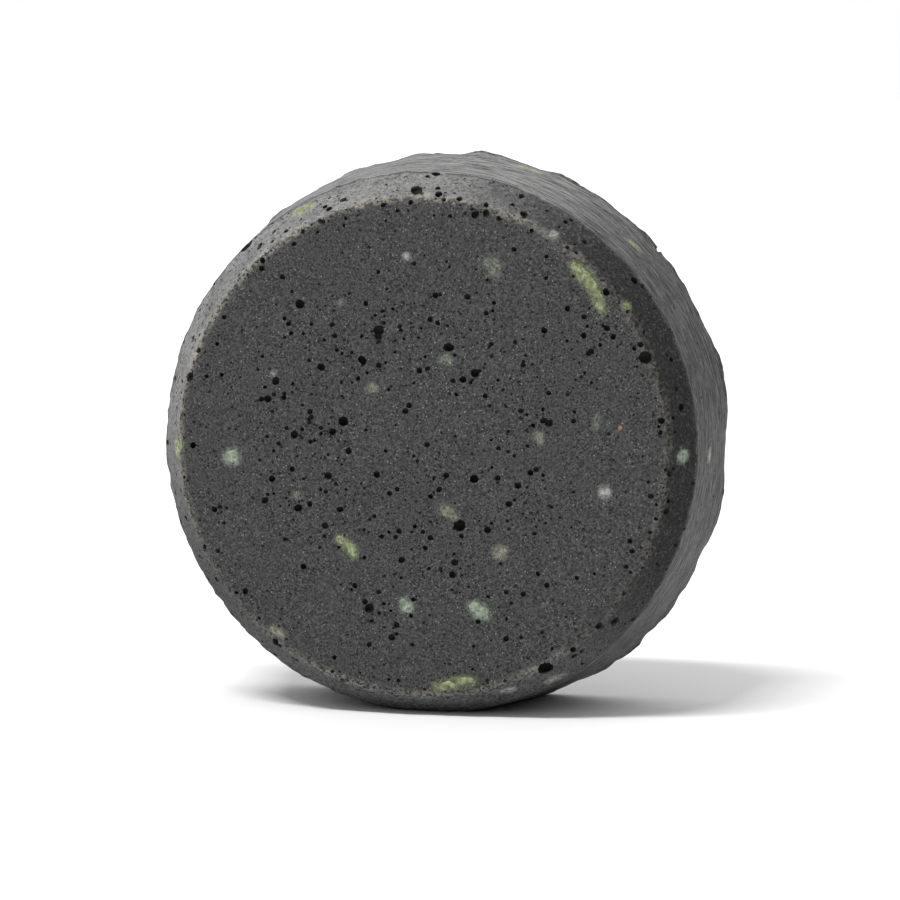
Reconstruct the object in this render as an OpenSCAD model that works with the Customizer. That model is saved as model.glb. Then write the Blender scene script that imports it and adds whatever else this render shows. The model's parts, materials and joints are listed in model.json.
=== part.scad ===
// A solid shaving soap puck, poured in a tapered round mould and standing on its rim.
// The dark base holds green and pale soap chips, and air bubbles are open all over it.
// The axis of the puck runs along Y, the lathering face looks towards -Y, and +Z is up.
// The origin is on the ground, in the middle of the resting flat.

/* [Puck] */
// Diameter of the back, the widest part, which was the open top of the mould
back_d = 80; // [50:1:120]
// Thickness from the lathering face to the back
puck_t = 22; // [14:0.5:40]
// Draft of the side wall, in degrees, so that the puck leaves its mould
draft = 7.5; // [1:0.5:12]

/* [Edges] */
// How far the front bevel reaches down the side
bevel_t = 5; // [2:0.25:8]
// How far the front bevel reaches in towards the middle
bevel_w = 3.5; // [1.5:0.25:8]
// Radius of the eased edge round the back
lip_r = 1; // [0.4:0.1:2]
// How deep the resting flat is cut under the front rim
flat_cut = 0.3; // [0.1:0.05:1.5]

/* [Chips and bubbles] */
// Room between a chip and its pocket in the base
chip_gap = 0.02; // [0.01:0.01:0.1]
// Number of large air bubbles open on the lathering face
face_bubbles = 64; // [20:1:120]
// Number of large air bubbles open round the bevel
bevel_bubbles = 18; // [6:1:40]
// Number of large air bubbles open on the side wall
wall_bubbles = 14; // [6:1:40]
// Number of large air bubbles open on the back
back_bubbles = 34; // [10:1:80]
// Radius of the smallest large bubble
bubble_min_r = 0.4; // [0.3:0.05:0.8]
// Radius of the largest bubble
bubble_max_r = 1; // [0.8:0.05:1.6]
// Number of chips that lie wholly inside the base
buried_count = 24; // [8:1:40]
// Radius of a chip that lies wholly inside the base
buried_r = 1.2; // [0.6:0.1:2]

/* [Hidden] */
$fn = 48;
// Facets round the outer form when it is shown as a mesh
form_fn = 360;
half_t = puck_t / 2;
wall_t = puck_t - bevel_t;
back_r = back_d / 2;
front_r = back_r - wall_t * tan(draft);
face_r = front_r - bevel_w;
// Height of the puck's axis above the ground
axis_h = front_r - flat_cut;
// Steps in the quarter round of the back edge
lip_steps = 4;
// The part of a bubble's radius that its centre lies under the surface
bubble_sink = 0.35;
// Clear soap that is left between a bubble and a chip
clear_wall = 0.4;
// Distance between the grains of a chip, as a part of its half thickness
grain_step = 0.8;
// How much thinner a long chip is at its ends, as a part of its half thickness
end_thinning = 0.25;
// Turn between neighbours on a sunflower spiral, in degrees
golden_turn = 137.508;
// The spiral keeps this far inside the edge of its disc
edge_margin = 2;
bevel_lean = atan2(bevel_w, bevel_t);

// Places on the skin of the puck, which lies face up here with its middle at the origin.
// turn is counted from the right of the face, and sink is the depth under the skin.
function face_point(turn, share, sink) =
    [face_r * share * cos(turn), face_r * share * sin(turn), half_t - sink];
function edge_point(turn, inset, sink) =
    [(face_r - inset) * cos(turn), (face_r - inset) * sin(turn), half_t - sink];
function bevel_point(turn, drop, sink) =
    let (r = face_r + bevel_w * drop / bevel_t - sink * cos(bevel_lean))
    [r * cos(turn), r * sin(turn), half_t - drop - sink * sin(bevel_lean)];
function wall_point(turn, down, sink) =
    let (r = front_r + down * tan(draft) - sink)
    [r * cos(turn), r * sin(turn), half_t - bevel_t - down];
function back_point(turn, share, sink) =
    [back_r * share * cos(turn), back_r * share * sin(turn), sink - half_t];

// Chips that show: name, colour, half of its thickness, and the points that it runs through.
CHIPS = [
    ["green_chip_upper_left_bevel", "DarkSeaGreen", 0.9,
        [bevel_point(116, 3.4, 0.3), bevel_point(120, 3.8, 0.3)]],
    ["green_streak_upper_right", "DarkSeaGreen", 0.8,
        [edge_point(50, 1.2, 0.3), edge_point(43, 1.3, 0.3), edge_point(37, 2.4, 0.3)]],
    ["green_crumb_upper_right", "DarkSeaGreen", 0.5,
        [bevel_point(35, 0.8, 0.2)]],
    ["round_green_chip_left", "DarkSeaGreen", 1.3,
        [face_point(-176, 0.78, 0.6)]],
    ["green_sliver_lower_left", "YellowGreen", 0.7,
        [face_point(-132, 0.5, 0.2), face_point(-125, 0.5, 0.2), face_point(-121, 0.52, 0.3)]],
    ["grey_green_chip_centre", "DarkSeaGreen", 1.1,
        [face_point(-69, 0.26, 0.6), face_point(-62, 0.31, 0.6)]],
    ["pale_green_chip_lower_right", "PaleGreen", 1.1,
        [face_point(-71, 0.67, 0.4), face_point(-68, 0.72, 0.4)]],
    ["pale_green_chip_lower", "PaleGreen", 0.9,
        [face_point(-95, 0.64, 0.3)]],
    ["beige_chip_lower_right", "Wheat", 0.9,
        [face_point(-51, 0.53, 0.4)]],
    ["pale_chip_right", "Honeydew", 0.8,
        [face_point(-12, 0.77, 0.3)]],
    ["yellow_ring_chip_left_bevel", "Khaki", 1.2,
        [bevel_point(181, 1.2, 0.4)]],
    ["faint_green_chip_upper_right", "DarkSeaGreen", 1.3,
        [face_point(65.5, 0.77, 0.8), face_point(69, 0.8, 0.6)]],
    ["green_streak_bottom_edge", "YellowGreen", 0.8,
        [edge_point(-86, 1.1, 0.3), edge_point(-77, 1.3, 0.3)]],
    ["beige_chip_bottom_left_edge", "Wheat", 0.6,
        [edge_point(-129, 1, 0.2), edge_point(-126, 1.2, 0.2)]],
    ["green_chip_right_bevel", "PaleGreen", 0.9,
        [bevel_point(-1, 2.6, 0.3)]],
    ["green_streak_top_wall", "DarkSeaGreen", 0.7,
        [wall_point(70.5, 13.2, 0.25), wall_point(73, 13.9, 0.2), wall_point(75, 13.8, 0.3)]],
    ["faint_chip_left_of_centre", "DarkSeaGreen", 0.7,
        [face_point(130, 0.31, 0.3)]],
    ["faint_chip_above_centre", "DarkSeaGreen", 0.7,
        [face_point(73, 0.37, 0.3)]],
    ["small_pale_chip_right_of_centre", "Honeydew", 0.6,
        [face_point(6, 0.49, 0.2)]],
    ["green_fleck_right", "DarkSeaGreen", 0.5,
        [face_point(8, 0.72, 0.2), face_point(11, 0.74, 0.2)]],
    ["small_chip_left_of_centre", "DarkSeaGreen", 0.5,
        [face_point(-158, 0.55, 0.2)]],
    ["white_shard_bottom_bevel", "WhiteSmoke", 0.6,
        [bevel_point(-71, 1.8, 0.1), bevel_point(-69, 2.3, 0.1)]],
    ["grey_shard_lower_right_bevel", "Gainsboro", 0.6,
        [bevel_point(-62, 3.6, 0.2), bevel_point(-58.5, 3.8, 0.2)]],
    ["pale_streak_right_wall", "Honeydew", 0.6,
        [wall_point(-2.5, 6, 0.2), wall_point(-1.2, 6.5, 0.25)]],
    ["white_fleck_left", "WhiteSmoke", 0.4,
        [face_point(154, 0.67, 0.1)]],
    ["white_fleck_top", "WhiteSmoke", 0.4,
        [face_point(94, 0.77, 0.1)]],
    ["green_fleck_upper_left", "DarkSeaGreen", 0.45,
        [face_point(119, 0.66, 0.15)]],
    ["pale_fleck_upper_right_bevel", "Honeydew", 0.4,
        [bevel_point(58, 1, 0.1)]],
    ["orange_grain_right", "Coral", 0.3,
        [face_point(7, 0.82, 0.05)]],
];

// Chips on the sides that are turned away: half of the thickness, and the points.
BACK_CHIPS = [
    [1.1, [back_point(40, 0.55, 0.4), back_point(44, 0.6, 0.4)]],
    [0.9, [back_point(95, 0.3, 0.3)]],
    [1.2, [back_point(150, 0.7, 0.5)]],
    [0.7, [back_point(205, 0.45, 0.3), back_point(212, 0.47, 0.3)]],
    [1, [back_point(265, 0.62, 0.4)]],
    [0.8, [back_point(318, 0.78, 0.3), back_point(322, 0.8, 0.3)]],
    [0.6, [back_point(350, 0.25, 0.2)]],
];
WALL_CHIPS = [
    [0.8, [wall_point(128, 5, 0.35), wall_point(129.5, 5.8, 0.25)]],
    [0.9, [wall_point(170, 11, 0.4), wall_point(172, 11.7, 0.3)]],
    [0.7, [wall_point(214, 4.4, 0.3), wall_point(216, 3.8, 0.25)]],
    [0.7, [wall_point(44, 9, 0.35), wall_point(46, 8.4, 0.25)]],
];

// Centres of the buried chips, on a sunflower spiral at changing depths, clear of the skin.
buried_band = puck_t - bevel_t - 6 * buried_r;
BURIED = [for (i = [0 : buried_count - 1])
    let (
        turn = i * golden_turn,
        r = (face_r - 4 * buried_r) * sqrt((i + 0.5) / buried_count),
        level = buried_band * ((i * 7 % buried_count) / (buried_count - 1) - 0.5)
    )
    [r * cos(turn), r * sin(turn), level - bevel_t / 4]];

// A bubble is [radius, centre]. Most are small and a few are large.
function bubble_size(luck) = bubble_min_r + (bubble_max_r - bubble_min_r) * pow(luck, 3);
FACE_LUCK = rands(0, 1, face_bubbles, 11);
BEVEL_LUCK = rands(0, 1, bevel_bubbles, 12);
WALL_LUCK = rands(0, 1, wall_bubbles, 13);
BACK_LUCK = rands(0, 1, back_bubbles, 14);
TRIES = concat(
    [for (i = [0 : face_bubbles - 1])
        let (
            b = bubble_size(FACE_LUCK[i]),
            share = (face_r - edge_margin) / face_r * sqrt((i + 0.5) / face_bubbles)
        )
        [b, face_point(i * golden_turn, share, bubble_sink * b)]],
    [for (i = [0 : bevel_bubbles - 1])
        let (b = bubble_size(BEVEL_LUCK[i]))
        [b, bevel_point((i + BEVEL_LUCK[i] / 2) * 360 / bevel_bubbles, bevel_t / 2, bubble_sink * b)]],
    [for (i = [0 : wall_bubbles - 1])
        let (b = bubble_size(WALL_LUCK[i]))
        [b, wall_point((i + 0.3) * 360 / wall_bubbles, wall_t * (0.3 + 0.4 * WALL_LUCK[i]),
            bubble_sink * b)]],
    [for (i = [0 : back_bubbles - 1])
        let (
            b = bubble_size(BACK_LUCK[i]),
            share = (back_r - lip_r - edge_margin) / back_r * sqrt((i + 0.5) / back_bubbles)
        )
        [b, back_point(-i * golden_turn, share, bubble_sink * b)]]
);
// The grains of one chip, as [radius, centre], closer together than their own radius
function chip_grains(points, r) =
    len(points) == 1 ? [[r, points[0]]] :
    let (
        legs = [for (i = [1 : len(points) - 1]) points[i] - points[i - 1]],
        counts = [for (leg = legs) max(1, ceil(norm(leg) / (grain_step * r)))],
        path = concat(
            [for (i = [0 : len(legs) - 1])
                for (k = [0 : counts[i] - 1])
                    points[i] + legs[i] * k / counts[i]],
            [points[len(points) - 1]]
        ),
        last = len(path) - 1
    )
    [for (i = [0 : last]) [r * (1 - end_thinning * pow(2 * i / last - 1, 2)), path[i]]];

// All grains, as [radius, centre], so that bubbles can miss them
CHIP_BALLS = concat(
    [for (c = CHIPS) each chip_grains(c[3], c[2])],
    [for (c = concat(BACK_CHIPS, WALL_CHIPS)) each chip_grains(c[1], c[0])],
    [for (p = BURIED) [buried_r, p]]
);
function clear_of(ball, others) =
    len([for (o = others) if (norm(ball[1] - o[1]) < ball[0] + o[0] + clear_wall) 1]) == 0;
// A bubble near the resting flat would open into it, so those are left out too.
ground_y = -axis_h;
BUBBLES = [for (t = TRIES) if (clear_of(t, CHIP_BALLS) && t[1][1] > ground_y + 2 * t[0]) t];
// The ring chip has a bubble of its own in its middle
RING_BUBBLE = [0.6, bevel_point(181, 1.2, 0.1)];

// The rounded back edge, from the wall to the back, as points on an arc
lip_mid = [back_r - lip_r, lip_r - half_t];
LIP = [for (i = [0 : lip_steps])
    let (turn = -90 * i / lip_steps)
    lip_mid + lip_r * [cos(turn), sin(turn)]];
// The skin from the edge of the face to the edge of the back, as points right of the axis
SKIN = concat([[face_r, half_t], [front_r, half_t - bevel_t]], LIP);

// Lifts the puck from lying face up to standing on its flat
module stood() {
    translate([0, 0, axis_h])
        rotate([90, 0, 0])
            children();
}

// The whole outer form, with neither chips nor bubbles
module puck_form() {
    difference() {
        rotate_extrude($fn = form_fn)
            polygon(concat([[0, half_t]], SKIN, [[0, -half_t]]));
        translate([-back_r, ground_y - back_r, -puck_t])
            cube([back_d, back_r, 2 * puck_t]);
    }
}

// A chip is a lumpy string of grains along its points, a little thinner towards its ends
module chip_body(points, r) {
    for (g = chip_grains(points, r))
        translate(g[1])
            sphere(r = g[0]);
}

module bubble(b) {
    translate(b[1])
        sphere(r = b[0]);
}

// The cast dark base, with a pocket for each chip and its open bubbles
module soap_base() {
    color("DimGray")
        stood()
            difference() {
                puck_form();
                for (c = CHIPS)
                    chip_body(c[3], c[2] + chip_gap);
                for (c = concat(BACK_CHIPS, WALL_CHIPS))
                    chip_body(c[1], c[0] + chip_gap);
                for (p = BURIED)
                    chip_body([p], buried_r + chip_gap);
                for (b = BUBBLES)
                    bubble(b);
            }
}

// The form as it runs straight on to both sides of one turn, which is flush with the skin there
module straight_form(turn) {
    rotate([90, 0, turn])
        linear_extrude(height = back_d, center = true)
            polygon(concat([[-back_r, half_t]], SKIN, [[-back_r, -half_t]]));
}

// A chip that shows, cut level with the skin at its middle
module set_chip(points, r) {
    middle = points[floor(len(points) / 2)];
    intersection() {
        chip_body(points, r);
        straight_form(atan2(middle[1], middle[0]));
    }
}

module named_chip(c) {
    color(c[1])
        stood()
            difference() {
                set_chip(c[3], c[2]);
                if (c[0] == "yellow_ring_chip_left_bevel")
                    bubble(RING_BUBBLE);
            }
}

// Chips open on the back of the puck
module back_face_chips() {
    color("DarkSeaGreen")
        stood()
            for (c = BACK_CHIPS)
                set_chip(c[1], c[0]);
}

// Chips open on the side wall where it is turned away
module side_wall_chips() {
    color("DarkSeaGreen")
        stood()
            for (c = WALL_CHIPS)
                set_chip(c[1], c[0]);
}

// Chips that are stirred right into the base and closed in all round
module buried_chips() {
    color("OliveDrab")
        stood()
            for (p = BURIED)
                chip_body([p], buried_r);
}

soap_base();
for (c = CHIPS)
    named_chip(c);
back_face_chips();
side_wall_chips();
buried_chips();
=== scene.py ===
import json
import math
import random

import bpy
from mathutils import Euler, Matrix, Vector
from mathutils.bvhtree import BVHTree
from mathutils.kdtree import KDTree


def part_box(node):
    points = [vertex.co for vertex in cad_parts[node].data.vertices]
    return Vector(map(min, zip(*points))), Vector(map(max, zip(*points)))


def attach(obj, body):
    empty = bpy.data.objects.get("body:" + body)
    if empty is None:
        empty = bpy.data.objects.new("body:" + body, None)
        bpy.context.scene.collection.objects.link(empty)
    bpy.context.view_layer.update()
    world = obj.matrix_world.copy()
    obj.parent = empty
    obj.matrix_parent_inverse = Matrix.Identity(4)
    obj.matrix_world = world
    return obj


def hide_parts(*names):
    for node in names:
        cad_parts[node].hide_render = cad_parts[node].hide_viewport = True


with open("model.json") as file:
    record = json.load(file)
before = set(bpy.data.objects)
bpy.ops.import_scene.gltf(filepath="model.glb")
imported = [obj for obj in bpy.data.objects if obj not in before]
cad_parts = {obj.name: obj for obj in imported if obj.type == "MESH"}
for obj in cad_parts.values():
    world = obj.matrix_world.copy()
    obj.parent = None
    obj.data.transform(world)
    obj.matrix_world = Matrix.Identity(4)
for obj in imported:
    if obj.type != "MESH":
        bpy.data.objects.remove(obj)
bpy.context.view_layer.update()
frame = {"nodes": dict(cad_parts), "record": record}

# ---------------------------------------------------------------------------------------------
# The casting. Dark soap is poured face down into a tapered round mould. The mould leaves a
# smooth face and bevel and a side wall that is dragged in fine rings as the puck is pushed out.
# The back was the open top, so it sets uneven, with a lumpy rim that crumbles.
# ---------------------------------------------------------------------------------------------
mm = 0.001
base_low, base_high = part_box("soap_base")
places = {mount["name"]: Vector(mount["pos_m"]) for mount in frame["record"]["mounts"]}
axis_z = places["lathering_face"].z
face_y = base_low.y
back_y = base_high.y
back_r = (base_high.x - base_low.x) / 2
bevel_depth = 5 * mm
bevel_width = 3.5 * mm
lip_r = 1.2 * mm
draft = math.radians(7.5)
front_r = back_r - (back_y - face_y - bevel_depth) * math.tan(draft)
face_r = front_r - bevel_width
bevel_y = face_y + bevel_depth
rim_segments = 240
lip_turns = (30, 60, 90)


def only(piece):
    """Makes this piece the one that the next operators work on."""
    bpy.ops.object.select_all(action="DESELECT")
    piece.select_set(True)
    bpy.context.view_layer.objects.active = piece


def apply_all(piece):
    """Applies the piece's modifiers in their order."""
    only(piece)
    for modifier in list(piece.modifiers):
        bpy.ops.object.modifier_apply(modifier=modifier.name)


def cut(piece, tool, operation="DIFFERENCE"):
    """Cuts the tool's shape out of the piece, or keeps only what lies in both."""
    blade = piece.modifiers.new("cut", "BOOLEAN")
    blade.operation = operation
    blade.object = tool
    blade.solver = "MANIFOLD"
    apply_all(piece)


def flat_foot(piece):
    """Cuts the piece off level where it stands on the ground."""
    block = 3 * back_r
    bpy.ops.object.select_all(action="DESELECT")
    bpy.ops.mesh.primitive_cube_add(size=block, location=(0, 0, -block / 2))
    ground = bpy.context.object
    cut(piece, ground)
    bpy.data.objects.remove(ground)


def off_axis(place):
    """How far a place is from the axis of the puck."""
    return math.hypot(place.x, place.z - axis_z)


def near(value, middle, reach):
    """1 at the middle, falling softly to 0 well beyond the reach."""
    return math.exp(-((value - middle) / reach) ** 2)


def by_edge(edge_y, edge_r, deep, wide):
    """A rule that is 1 on a round edge and falls to 0 away from it along the axis and across."""
    return lambda place: near(place.y, edge_y, deep) * near(off_axis(place), edge_r, wide)


def poured_back(place):
    """1 on the back inside its rim, and 0 in front of it."""
    return near(place.y, back_y, 0.8 * mm) if off_axis(place) < back_r - 2 * mm else 0


def lumps(piece, size, height, level=0.5, where=None):
    """Raises and sinks the skin by a soft random pattern, all over or where the rule says.
    A level above a half sinks more than it raises."""
    texture = bpy.data.textures.new("lumps", "CLOUDS")
    texture.noise_scale = size
    push = piece.modifiers.new("lumps", "DISPLACE")
    push.texture = texture
    push.strength = height
    push.mid_level = level
    if where is not None:
        group = piece.vertex_groups.new(name="where")
        for vertex in piece.data.vertices:
            group.add([vertex.index], max(0.0, min(1.0, where(vertex.co))), "REPLACE")
        push.vertex_group = group.name
    apply_all(piece)
    piece.vertex_groups.clear()


# a disc for the face is drawn out along the axis, ring by ring, and the lip is a quarter round
bpy.ops.object.select_all(action="DESELECT")
bpy.ops.mesh.primitive_circle_add(vertices=rim_segments, radius=face_r, fill_type="NGON",
                                  location=(0, face_y, axis_z), rotation=(math.pi / 2, 0, 0))
casting = bpy.context.object
casting.name = "dark_soap_casting"
bpy.ops.object.transform_apply(location=True, rotation=True, scale=True)
bpy.ops.object.mode_set(mode="EDIT")
bpy.ops.mesh.select_all(action="SELECT")
rings = [(bevel_y, front_r), (back_y - lip_r, back_r)]
for turn in map(math.radians, lip_turns):
    rings.append((back_y - lip_r * (1 - math.sin(turn)), back_r - lip_r * (1 - math.cos(turn))))
here_y, here_r = face_y, face_r
for ring_y, ring_r in rings:
    bpy.ops.mesh.extrude_region_move(TRANSFORM_OT_translate={"value": (0, ring_y - here_y, 0)})
    bpy.ops.transform.resize(value=(ring_r / here_r, 1, ring_r / here_r),
                             center_override=(0, ring_y, axis_z))
    here_y, here_r = ring_y, ring_r
bpy.ops.mesh.select_all(action="SELECT")
bpy.ops.mesh.normals_make_consistent(inside=False)
bpy.ops.object.mode_set(mode="OBJECT")
flat_foot(casting)
remesh = casting.modifiers.new("even_skin", "REMESH")
remesh.mode = "SHARP"
remesh.octree_depth = 7
remesh.scale = 0.82
apply_all(casting)

# slow swells of the mould, and fine unevenness
lumps(casting, size=14 * mm, height=0.35 * mm)
lumps(casting, size=1.6 * mm, height=0.12 * mm)
# the worn edges of the face and of the bevel
lumps(casting, size=2.6 * mm, height=1.6 * mm, level=0.6,
      where=by_edge(face_y, face_r, deep=0.7 * mm, wide=0.6 * mm))
lumps(casting, size=1.8 * mm, height=0.6 * mm, level=0.58,
      where=by_edge(bevel_y, front_r, deep=0.6 * mm, wide=0.7 * mm))
# the lumpy rim of the back, and its crumbs
lumps(casting, size=7 * mm, height=2.6 * mm, level=0.48,
      where=by_edge(back_y, back_r, deep=1.7 * mm, wide=1.6 * mm))
lumps(casting, size=2.4 * mm, height=0.9 * mm, level=0.54,
      where=by_edge(back_y, back_r, deep=1.3 * mm, wide=1.4 * mm))
# the wavy poured back
lumps(casting, size=9 * mm, height=0.8 * mm, where=poured_back)
flat_foot(casting)

skin = casting.copy()
skin.data = casting.data.copy()
skin.name = "skin_before_cutting"
bpy.context.scene.collection.objects.link(skin)
skin_tree = BVHTree.FromObject(skin, bpy.context.evaluated_depsgraph_get())

# ---------------------------------------------------------------------------------------------
# The chips. Offcuts of green, pale and beige soap are stirred into the dark soap while it is
# soft, and those that touch the mould are left flush with the skin. Their rims melt a little
# into the dark soap. Each is cut from a ragged lump along the skin and sits in its own pocket.
# ---------------------------------------------------------------------------------------------
finest_cell = 0.16 * mm
coarsest_cell = 0.36 * mm
buried_cell = 0.6 * mm
cells_along = 12
chip_swell = 0.12 * mm
chip_lump_size = 1.1 * mm
chip_crumb_size = 0.35 * mm
ragged_by = 0.8 * mm
slightly_ragged_by = 0.3 * mm
crumb_share = 0.4
GREEN, PALE, GREY, BEIGE, WHITE, ORANGE = (
    "green_soap", "pale_green_soap", "grey_green_soap", "beige_soap", "white_soap", "orange_soap")
# dark tone, pale tone, and how much of the chip is veiled by dark soap
CHIP_TONES = {
    GREEN: ((0.15, 0.19, 0.07, 1), (0.36, 0.41, 0.22, 1), 0.08),
    PALE: ((0.17, 0.24, 0.17, 1), (0.36, 0.43, 0.32, 1), 0.08),
    GREY: ((0.11, 0.13, 0.09, 1), (0.26, 0.29, 0.20, 1), 0.16),
    BEIGE: ((0.17, 0.175, 0.12, 1), (0.33, 0.34, 0.25, 1), 0.12),
    WHITE: ((0.20, 0.205, 0.19, 1), (0.45, 0.45, 0.42, 1), 0.1),
    ORANGE: ((0.28, 0.11, 0.05, 1), (0.40, 0.20, 0.10, 1), 0.0),
}
CHIPS = {row["node"]: row["material_slot"] for row in frame["record"]["subparts"]}
CHIPS.pop("soap_base")


def recast(piece, cell):
    """Gives the piece an even skin of small faces."""
    voxels = piece.modifiers.new("recast", "REMESH")
    voxels.mode = "VOXEL"
    voxels.voxel_size = cell
    apply_all(piece)


def chip_lump(node, ragged, cell):
    """A ragged lump in the place of one CAD chip, a little larger than it all round."""
    lump = bpy.data.objects.new("set_" + node, frame["nodes"][node].data.copy())
    bpy.context.scene.collection.objects.link(lump)
    lump.data.materials.clear()
    only(lump)
    bpy.ops.object.mode_set(mode="EDIT")
    bpy.ops.mesh.select_all(action="SELECT")
    bpy.ops.mesh.remove_doubles(threshold=0.001 * mm)
    bpy.ops.object.mode_set(mode="OBJECT")
    recast(lump, cell)
    swell = lump.modifiers.new("swell", "DISPLACE")
    swell.strength = chip_swell
    swell.mid_level = 0
    apply_all(lump)
    lumps(lump, size=chip_lump_size, height=ragged)
    lumps(lump, size=chip_crumb_size, height=ragged * crumb_share)
    recast(lump, cell)
    return lump


def tree_of(points):
    """A search tree of these places, for the nearest one and its distance."""
    tree = KDTree(len(points))
    for index, place in enumerate(points):
        tree.insert(place, index)
    tree.balance()
    return tree


class Wire:
    """One value in a finish. Sums with it add their Math nodes, and make() adds any other node."""

    def __init__(self, tree, node=None, output=0):
        self.tree = tree
        self.node = node
        self.socket = node.outputs[output] if node else None

    def make(self, kind, settings, values, output=0):
        node = self.tree.nodes.new("ShaderNode" + kind)
        for name, setting in settings.items():
            setattr(node, name, setting)
        for name, value in values.items():
            if isinstance(value, Wire):
                self.tree.links.new(value.socket, node.inputs[name])
            else:
                node.inputs[name].default_value = value
        return Wire(self.tree, node, output)

    def also(self, output):
        """Another output of the same node."""
        return Wire(self.tree, self.node, output)

    def sum_of(self, operation, first, second):
        return self.make("Math", {"operation": operation}, {0: first, 1: second})

    def __add__(self, other):
        return self.sum_of("ADD", self, other)

    def __sub__(self, other):
        return self.sum_of("SUBTRACT", self, other)

    def __rsub__(self, other):
        return self.sum_of("SUBTRACT", other, self)

    def __mul__(self, other):
        return self.sum_of("MULTIPLY", self, other)

    def __lt__(self, other):
        return self.sum_of("LESS_THAN", self, other)

    def __gt__(self, other):
        return self.sum_of("GREATER_THAN", self, other)

    __radd__ = __add__
    __rmul__ = __mul__

    def larger(self, other):
        return self.sum_of("MAXIMUM", self, other)

    def step(self, start, end):
        """0 before the start, 1 after the end, and smooth between them."""
        return self.make("MapRange", {"interpolation_type": "SMOOTHSTEP"},
                         {"Value": self, "From Min": start, "From Max": end})

    def fade(self, start, end):
        """1 before the start, 0 after the end, and smooth between them."""
        return 1 - self.step(start, end)

    def band(self, middle, reach):
        """1 at the middle, falling to 0 at the reach on both sides."""
        return self.sum_of("ABSOLUTE", self - middle, 0).fade(0, reach)

    def between(self, low, high):
        """The colour that runs from low to high as this value goes from 0 to 1."""
        return self.make("Mix", {"data_type": "RGBA"}, {0: self, 6: low, 7: high}, 2)

    def times(self, factors):
        """This place, drawn together or out along each axis."""
        return self.make("VectorMath", {"operation": "MULTIPLY"}, {0: self, 1: factors})

    def grain(self, size, detail=2, rough=0.55):
        """Soft random cells of this size."""
        return self.make("TexNoise", {}, {"Vector": self, "Scale": 1 / size, "Detail": detail,
                                          "Roughness": rough})

    def specks(self, apart, inner, outer, left_out):
        """Round specks about this far apart, from solid to their rim, with a share left out."""
        cells = self.make("TexVoronoi", {}, {"Vector": self, "Scale": 1 / apart})
        return cells.fade(inner, outer) * (cells.also("Color") > left_out)

    def layer(self, name, output="Fac"):
        """What the mesh holds under this name at each point."""
        return self.make("Attribute", {"attribute_name": name}, {}, output)

    def into(self, shader, name):
        """Feeds this value to one input of the surface."""
        self.tree.links.new(self.socket, shader.inputs[name])


def grey(level, warmth=0.0):
    return (level * (1 + warmth), level, level * (1 - warmth), 1)


def finish_named(name):
    """A new finish: its material, the Wire of its places, and its surface shader."""
    material = bpy.data.materials.new(name)
    material.use_nodes = True
    tree = material.node_tree
    spot = Wire(tree).make("TexCoord", {}, {}, "Object")
    return material, spot, tree.nodes["Principled BSDF"]


def dark_colour(spot):
    """Charcoal soap: salt-and-pepper grain, slow mottling, a few white specks that paint glints, and pits
    painted dark as their shade.
    """
    soot, ash, haze, painted_glint, painted_pit_shade = grey(0.008), grey(0.115), grey(0.05, 0.02), grey(0.36), grey(0.006)
    tone = spot.grain(0.3 * mm, 5, 0.85).step(0.38, 0.66).between(soot, ash)
    tone = (spot.grain(2.6 * mm, 3).step(0.4, 0.75) * 0.4).between(tone, haze)
    # a few white specks paint glints on the grain
    glint_cells = spot.make("TexVoronoi", {}, {"Vector": spot, "Scale": 1 / (0.6 * mm)})
    shown = (glint_cells < 0.15) * (glint_cells.also("Color") > 0.62)
    tone = (shown * 0.55).between(tone, painted_glint)
    # dark specks paint the shade in tiny pits
    return (spot.specks(0.5 * mm, 0.12, 0.24, 0.5) * 0.75).between(tone, painted_pit_shade)


def chip_finish(slot):
    """Waxy soap that is cloudy and pitted, with painted shade in its pits, and melts into the dark soap
    towards its rim.
    """
    dark, pale, veil = CHIP_TONES[slot]
    material, spot, shader = finish_named(slot + "_chip")
    cloudy = spot.grain(0.8 * mm, 4, 0.65)
    pits_painted_dark = spot.specks(0.7 * mm, 0.12, 0.24, 0.55)
    colour = cloudy.step(0.35, 0.7).between(dark, pale)
    # painted shade darkens the pits
    colour = (pits_painted_dark * 0.7).between(colour, grey(0.03))
    ragged_rim = spot.layer("inside") + (spot.grain(0.4 * mm, 3, 0.7) - 0.5) * 1.6
    veiled = spot.grain(0.45 * mm, 4, 0.75).step(0.6 - veil, 0.75 - veil)
    colour = (ragged_rim.fade(-0.3, 0.5) * 0.5 + veiled * 0.75).between(colour, dark_colour(spot))
    colour.into(shader, "Base Color")
    (0.55 + (cloudy - 0.5) * 0.25).into(shader, "Roughness")
    relief = spot.grain(0.3 * mm, 3, 0.7) - pits_painted_dark
    bump = spot.make("Bump", {}, {"Strength": 1, "Distance": 0.08 * mm, "Height": relief})
    bump.into(shader, "Normal")
    return material


chips = []
shell_points = []
shell_slots = []
for node, slot in CHIPS.items():
    ragged, cell = ragged_by, buried_cell
    if slot == ORANGE or node == "buried_chips":
        ragged = slightly_ragged_by
    if node != "buried_chips":
        lowest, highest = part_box(node)
        cell = max(finest_cell, min(coarsest_cell, (highest - lowest).length / cells_along))
    chip = chip_lump(node, ragged, cell)
    shell = [vertex.co.copy() for vertex in chip.data.vertices]
    if slot != ORANGE:
        shell_points += shell
        shell_slots += [slot] * len(shell)
    cut(casting, chip)
    cut(chip, skin, "INTERSECT")
    # how far each point lies inside the lump, in mm, for the finish
    shell_tree = tree_of(shell)
    inside = chip.data.attributes.new("inside", "FLOAT", "POINT")
    for vertex in chip.data.vertices:
        inside.data[vertex.index].value = shell_tree.find(vertex.co)[2] / mm
    chips.append((chip, node, slot))
chip_tree = tree_of(shell_points)

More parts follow.
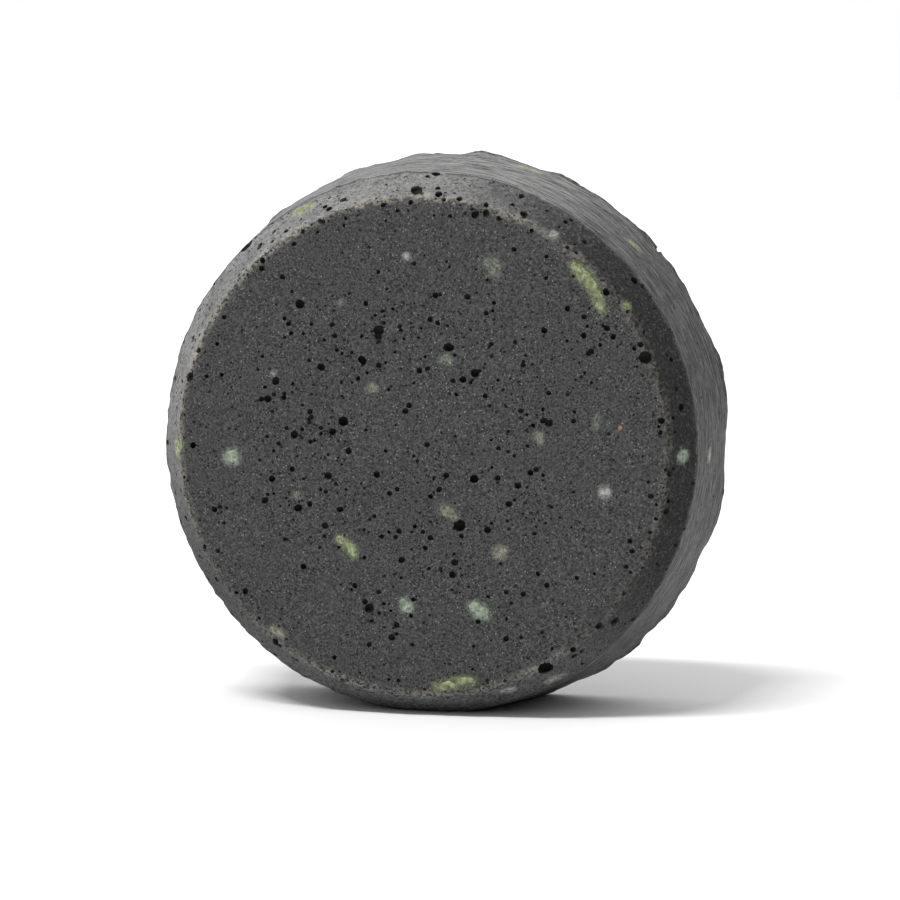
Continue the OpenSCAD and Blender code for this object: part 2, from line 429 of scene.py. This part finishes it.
chip_finishes = {slot: chip_finish(slot) for slot in CHIP_TONES}
for chip, node, slot in chips:
    chip.data.materials.clear()
    chip.data.materials.append(chip_finishes[slot])
    only(chip)
    bpy.ops.object.shade_smooth_by_angle(angle=math.radians(45))
    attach(chip, "root")
    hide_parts(node)

# ---------------------------------------------------------------------------------------------
# The air bubbles. Stirring beats air into the soap, and the bubbles that rest against the mould
# are left open as round dark pores. They gather in loose clusters and along the edges. Each is
# a slightly squashed ball cut out of the casting, which has its own finish after the last cut.
# ---------------------------------------------------------------------------------------------
luck = random.Random(7)
# right of the axis, above the axis, spread in mm and number of bubbles of each cluster
FACE_CLUSTERS = [
    (-15, 13, 4, 80), (-5, 15, 3.6, 64), (2, 19, 3.6, 56), (-14, 1, 4, 80), (-15, -8, 3.6, 50),
    (15, -8, 4, 84), (-2, -15, 4.5, 80), (16, 4, 3.6, 60), (4, 13, 3.5, 40), (3, -4, 5, 56),
    (-8, -22, 4, 40), (13, 9, 3.5, 34), (26, 16, 3, 26), (-20, 4, 3, 26), (10, -22, 4, 26),
]
# the largest bubbles lie in the same clusters and round the bevel, most of them near the least width
large_on_face, large_on_bevel = 36, 14
least_large, most_large = 0.8 * mm, 1.5 * mm
large_luck = random.Random(3)
# how many more lie loose on each part of the skin, and how wide they are beside the usual ones
on_face = 420
on_face_edge, edge_growth = 220, 1.15
on_bevel, bevel_growth = 260, 1.1
on_wall = 110
on_back_rim, rim_growth = 90, 1.7
on_back, back_growth = 200, 1.25
smallest_bubble = 0.25 * mm
usual_bubble = 0.32 * mm
size_spread = 0.5
shallowest_sink, deepest_sink = 0.15, 0.6
least_stretch, most_stretch = 0.85, 1.18
ball_roughness = 0.12
finer_ball_from = 0.45 * mm
finest_ball_from = 1.1 * mm
clear_of_ground = 0.8 * mm
# in radii: between bubbles cut together, above the ground, and from a chip
batch_spacing = 1.25
least_rise = 1.3
least_chip_gap = 0.8


def front_spot(right, above):
    """The place on the face or bevel at these offsets from the axis."""
    reach = math.hypot(right, above)
    inward = (reach - face_r) / bevel_width * bevel_depth if reach > face_r else 0
    return Vector((right, face_y + inward, axis_z + above))


def ring_spot(turn, reach, behind_face):
    """A place at a turn from the right, a distance from the axis and a depth from the face."""
    return Vector((reach * math.cos(turn), face_y + behind_face, axis_z + reach * math.sin(turn)))


def any_turn():
    return luck.uniform(0, math.tau)


def bubble_width():
    return usual_bubble * math.exp(luck.gauss(0, size_spread))


def large_bubble(number):
    """The place and width of one of the largest bubbles."""
    width = least_large + (most_large - least_large) * large_luck.random() ** 3
    if number < large_on_face:
        x, z, spread, _ = large_luck.choice(FACE_CLUSTERS)
        return front_spot(large_luck.gauss(x, spread) * mm, large_luck.gauss(z, spread) * mm), width
    spot = ring_spot(large_luck.uniform(0, math.tau), face_r + bevel_width * large_luck.random(), 0)
    return front_spot(spot.x, spot.z - axis_z), width


def wished_bubbles():
    """The place near the skin and the width of the mouth of every bubble, largest first."""
    thickness = back_y - face_y
    for number in range(large_on_face + large_on_bevel):
        yield large_bubble(number)
    for x, z, spread, number in FACE_CLUSTERS:
        for _ in range(number):
            spot = front_spot(luck.gauss(x, spread) * mm, luck.gauss(z, spread) * mm)
            yield spot, bubble_width()
    for _ in range(on_face):
        turn, reach = any_turn(), face_r * math.sqrt(luck.random())
        yield ring_spot(turn, reach, 0), bubble_width()
    for _ in range(on_face_edge):
        turn, reach = any_turn(), face_r + luck.gauss(-0.6, 1.1) * mm
        spot = ring_spot(turn, reach, 0)
        yield front_spot(spot.x, spot.z - axis_z), bubble_width() * edge_growth
    for _ in range(on_bevel):
        turn, down = any_turn(), luck.uniform(0.1, 1)
        spot = ring_spot(turn, face_r + bevel_width * down, bevel_depth * down)
        yield spot, bubble_width() * bevel_growth
    for _ in range(on_wall):
        turn, behind_face = any_turn(), luck.uniform(bevel_depth, thickness)
        yield ring_spot(turn, back_r, behind_face), bubble_width()
    for _ in range(on_back_rim):
        turn, behind_face = any_turn(), thickness - luck.uniform(-0.4, 2) * mm
        yield ring_spot(turn, back_r, behind_face), bubble_width() * rim_growth
    for _ in range(on_back):
        turn, reach = any_turn(), back_r * math.sqrt(luck.random())
        yield ring_spot(turn, reach, thickness), bubble_width() * back_growth


def ball(detail):
    """A unit ball with the roughness that a bubble wall has."""
    bpy.ops.object.select_all(action="DESELECT")
    bpy.ops.mesh.primitive_ico_sphere_add(subdivisions=detail, radius=1)
    pattern = bpy.context.object
    bpy.ops.object.mode_set(mode="EDIT")
    bpy.ops.mesh.select_all(action="SELECT")
    bpy.ops.transform.vertex_random(offset=ball_roughness, seed=detail)
    bpy.ops.object.mode_set(mode="OBJECT")
    return pattern


def blown(pattern, centre, radius):
    """One bubble: a squashed and turned copy of the pattern."""
    bubble = bpy.data.objects.new("bubble", pattern.data.copy())
    turned = Euler([any_turn() for _ in range(3)])
    stretch = Vector([radius * luck.uniform(least_stretch, most_stretch) for _ in range(3)])
    bubble.data.transform(Matrix.LocRotScale(centre, turned, stretch))
    bpy.context.scene.collection.objects.link(bubble)
    return bubble


small_ball, middling_ball, large_ball = ball(1), ball(2), ball(3)
# bubbles that would cut into each other go into separate batches
batches = [[] for _ in range(4)]
for wish, width in list(wished_bubbles()):
    if width < smallest_bubble or wish.z < clear_of_ground:
        continue
    mouth, outward, _, _ = skin_tree.find_nearest(wish)
    sink = luck.uniform(shallowest_sink, deepest_sink)
    radius = width / 2 / math.sqrt(1 - sink * sink)
    centre = mouth - outward * radius * sink
    if centre.z < radius * least_rise or chip_tree.find(centre)[2] < radius * least_chip_gap:
        continue
    pattern = small_ball
    if width >= finer_ball_from:
        pattern = middling_ball if width < finest_ball_from else large_ball
    for batch in batches:
        if all((centre - other).length > (radius + size) * batch_spacing for _, other, size in batch):
            batch.append((pattern, centre, radius))
            break
for batch in batches:
    balls = [blown(*bubble) for bubble in batch]
    bpy.ops.object.select_all(action="DESELECT")
    for bubble in balls:
        bubble.select_set(True)
    bpy.context.view_layer.objects.active = balls[0]
    bpy.ops.object.join()
    cut(casting, balls[0])
    bpy.data.objects.remove(balls[0])
for pattern in (small_ball, middling_ball, large_ball):
    bpy.data.objects.remove(pattern)
casting.data.validate()

# how deep each point lies under the skin, and how far it is from which chip, for the finish
depths = casting.data.attributes.new("depth", "FLOAT", "POINT")
gaps = casting.data.attributes.new("from_chip", "FLOAT", "POINT")
tints = casting.data.attributes.new("chip_tint", "FLOAT_COLOR", "POINT")
slot_tones = {row["slot"]: (*row["base_color"], 1) for row in frame["record"]["materials"]}
for vertex in casting.data.vertices:
    _, index, gap = chip_tree.find(vertex.co)
    depths.data[vertex.index].value = skin_tree.find_nearest(vertex.co)[3] / mm
    gaps.data[vertex.index].value = gap / mm
    tints.data[vertex.index].color = slot_tones[shell_slots[index]]
bpy.data.objects.remove(skin)


def dark_soap_finish():
    """Charcoal soap with a dragged wall, crumbling rims, a bevel frosted with dust and painted light and
    with painted shade on its far side, and open pores with painted shade inside.
    """
    groove, streak, scratched, wall_dust_and_light = grey(0.016), grey(0.16, 0.01), grey(0.34, 0.01), grey(0.38, 0.01)
    crumb_gap, crumb, edge_crumb = grey(0.012), grey(0.2, 0.02), (0.36, 0.335, 0.28, 1)
    frost_and_painted_light, lower_bevel_paler, painted_shade_black = grey(0.31, 0.01), grey(0.17, -0.02), grey(0)
    painted_pin_shade, painted_mouth_highlight, painted_pore_shade = grey(0.004), grey(0.11), grey(0.01)
    material, spot, shader = finish_named("dark_soap_skin")
    placed = spot.make("VectorMath", {"operation": "SUBTRACT"}, {0: spot, 1: (0, 0, axis_z)})
    flattened = placed.times((1, 0, 1))
    reach = spot.make("VectorMath", {"operation": "LENGTH"}, {0: flattened}, "Value")
    across = spot.make("SeparateXYZ", {}, {0: placed})
    along, height = across.also("Y"), across.also("Z")
    crumbs = spot.grain(0.55 * mm, 4, 0.7)
    patches = spot.grain(3.4 * mm, 3, 0.6).step(0.3, 0.62)
    upper_left = (height * 0.8 - across * 0.6).step(0, 0.03)
    lower = (0 - height).step(0.02, 0.034)

    # the side wall is dragged in fine rings, and its upper side, towards the lamps, is paler with dust and
    # painted light
    wall = along.step(bevel_y - 0.1 * mm, bevel_y + 0.2 * mm)
    wall = wall * along.fade(back_y - 1.9 * mm, back_y - 1.3 * mm)
    drag = placed.times((0.12, 1, 0.12)).grain(0.5 * mm, 5, 0.8)
    scratch = placed.times((0.17, 1, 0.17)).grain(0.26 * mm, 4, 0.7)
    streaks = drag.step(0.42, 0.66).between(groove, streak)
    streaks = (scratch.step(0.53, 0.68) * 0.62).between(streaks, scratched)
    colour = (wall * 0.85).between(dark_colour(spot), streaks)
    # dust and painted light make the wall paler where it looks up towards the lamps
    dust_and_light_above = wall * (height - across * 0.5).step(0.008, 0.034) * drag.step(0.36, 0.64)
    colour = (dust_and_light_above * 0.6).between(colour, wall_dust_and_light)

    # crumbs break away along the back rim and leave it dark between pale grains
    rim = along.step(back_y - 2 * mm, back_y - 1.4 * mm)
    rim = rim * reach.step(back_r - 2.4 * mm, back_r - 1.4 * mm)
    broken = crumbs.step(0.42, 0.66).between(crumb_gap, crumb)
    colour = (rim * 0.85).between(colour, broken)

    # the bevel is frosted with dust and painted light on the upper left, towards the lamps, and painted
    # shade darkens it on the side turned from them
    bevel = reach.step(face_r - 0.15 * mm, face_r + 0.35 * mm)
    bevel = bevel * along.fade(bevel_y - 0.4 * mm, bevel_y)
    # dust frosts the upper left of the bevel, with painted light where the lamps fall
    frost_and_light_mask = bevel * upper_left * spot.grain(0.45 * mm, 5, 0.8).step(0.3, 0.62)
    colour = (frost_and_light_mask * (0.6 + patches * 0.4) * 0.8).between(colour, frost_and_painted_light)
    # crumb-like patches make the lower bevel paler
    colour = (bevel * lower * crumbs.step(0.4, 0.6) * 0.5).between(colour, lower_bevel_paler)
    # painted shade darkens the side of the bevel turned from the lamps, all but its crumbs
    turned_from_lamps = (across * 0.95 + height * 0.3).step(0.012, 0.03)
    shaded_side = bevel * turned_from_lamps * (1 - crumbs.step(0.48, 0.64) * 0.75)
    colour = (shaded_side * 0.72).between(colour, painted_shade_black)

    # pale crumbs hang on the edge of the face
    edge = reach.band(face_r + 0.1 * mm, 1.1 * mm)
    edge = edge * along.fade(face_y + 0.8 * mm, face_y + 1.6 * mm)
    dust = edge * (0.3 + upper_left * 0.7 + lower * 0.5) * crumbs.step(0.42, 0.58)
    dust = dust * (0.35 + patches * 0.65)
    colour = (dust * 0.85).between(colour, edge_crumb)

    # the green and pale soap bleeds a little into the dark soap round each chip
    ragged_gap = spot.layer("from_chip") + (spot.grain(0.5 * mm, 3, 0.7) - 0.5) * 1.6
    bleed = ragged_gap.fade(-0.3, 0.6) * 0.45
    colour = bleed.between(colour, spot.layer("chip_tint", "Color"))

    # painted shade in pin holes too small to feel, painted shade inside the open bubbles, and a painted
    # highlight round their mouths
    pins = spot.specks(0.85 * mm, 0.1, 0.2, 0.45) * (1 - wall)
    pins = pins.larger(spot.specks(1.5 * mm, 0.1, 0.16, 0.4) * (1 - wall * 0.6))
    colour = (pins * 0.92).between(colour, painted_pin_shade)
    depth = spot.layer("depth")
    # a pale ring paints the highlight on the lit inner wall at each bubble's mouth
    colour = (depth.step(0.02, 0.07) * 0.5).between(colour, painted_mouth_highlight)
    # painted shade darkens the inside of each open bubble
    colour = (depth.step(0.12, 0.4) * 0.85).between(colour, painted_pore_shade)
    colour.into(shader, "Base Color")

    (0.82 - wall * 0.2 + (spot.grain(0.3 * mm) - 0.5) * 0.2).into(shader, "Roughness")
    shader.inputs["Specular IOR Level"].default_value = 0.3
    relief = spot.grain(0.24 * mm, 3, 0.7) * (1 - wall * 0.6) + drag * wall * 1.5
    relief = relief + scratch * wall * 0.5 + crumbs * (edge + rim + bevel * 0.5) * 1.8 - pins * 1.2
    bump = spot.make("Bump", {}, {"Strength": 1, "Distance": 0.13 * mm, "Height": relief})
    bump.into(shader, "Normal")
    return material


casting.data.materials.clear()
casting.data.materials.append(dark_soap_finish())
only(casting)
bpy.ops.object.shade_smooth_by_angle(angle=math.radians(50))
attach(casting, "root")
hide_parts("soap_base")

# ---------------------------------------------------------------------------------------------
# The studio: a white floor that runs to a white surround, a strip of five soft lamps high on
# the left and in front, and the camera to the right of the puck's axis and a little above it.
# ---------------------------------------------------------------------------------------------
floor_width = 30
strip_sides = (-0.1, -0.2, -0.3, -0.4, -0.5)
strip_front = -0.43
strip_strength = 0.52
strip_angle = math.radians(5)
camera_bearing = math.radians(12.4)
camera_rise = math.radians(6.05)
camera_distance = 0.4717
camera_lens = 134.3

bpy.ops.object.select_all(action="DESELECT")
bpy.ops.mesh.primitive_plane_add(size=floor_width)
floor = bpy.context.object
floor.name = "studio_floor"
floor_paint, _, floor_shader = finish_named("white_floor")
floor_shader.inputs["Base Color"].default_value = grey(0.8)
floor_shader.inputs["Roughness"].default_value = 0.9
floor_shader.inputs["Specular IOR Level"].default_value = 0.1
floor.data.materials.append(floor_paint)

for side in strip_sides:
    lamp_data = bpy.data.lights.new("key_strip", "SUN")
    lamp_data.energy = strip_strength
    lamp_data.angle = strip_angle
    lamp = bpy.data.objects.new("key_strip", lamp_data)
    bpy.context.scene.collection.objects.link(lamp)
    lamp_from = Vector((side, strip_front, 1))
    lamp.rotation_euler = lamp_from.to_track_quat("Z", "Y").to_euler()

# the surround glows from above, from behind and from the left, and is plain white to the camera
surround = bpy.data.worlds.new("studio_surround")
bpy.context.scene.world = surround
surround.use_nodes = True
sky = surround.node_tree
backing = sky.nodes["Background"]
backing.inputs["Color"].default_value = (1, 1, 1, 1)
direction = Wire(sky).make("TexCoord", {}, {}, "Generated")
sideways = direction.make("SeparateXYZ", {}, {0: direction})
behind, overhead, left = sideways.also("Y"), sideways.also("Z"), 0 - sideways
glow = behind.step(0, 0.9) * 0.5 + overhead.step(0.2, 1) * 1.05 + left.step(0, 1) * 0.5 + 0.02
seen = direction.make("LightPath", {}, {}, "Is Camera Ray")
(glow + seen * (1.0 - glow)).into(backing, "Strength")

camera_data = bpy.data.cameras.new("camera")
camera = bpy.data.objects.new("camera", camera_data)
bpy.context.scene.collection.objects.link(camera)
bpy.context.scene.camera = camera
level_reach = math.cos(camera_rise)
towards = Vector((math.sin(camera_bearing) * level_reach, -math.cos(camera_bearing) * level_reach,
                  math.sin(camera_rise)))
camera.location = Vector((0, 0, axis_z)) + towards * camera_distance
camera.rotation_euler = towards.to_track_quat("Z", "Y").to_euler()
camera_data.sensor_width = 36
camera_data.lens = camera_lens
camera_data.shift_x = 0.0149
camera_data.shift_y = -0.0113
bpy.context.scene.view_settings.view_transform = "Standard"
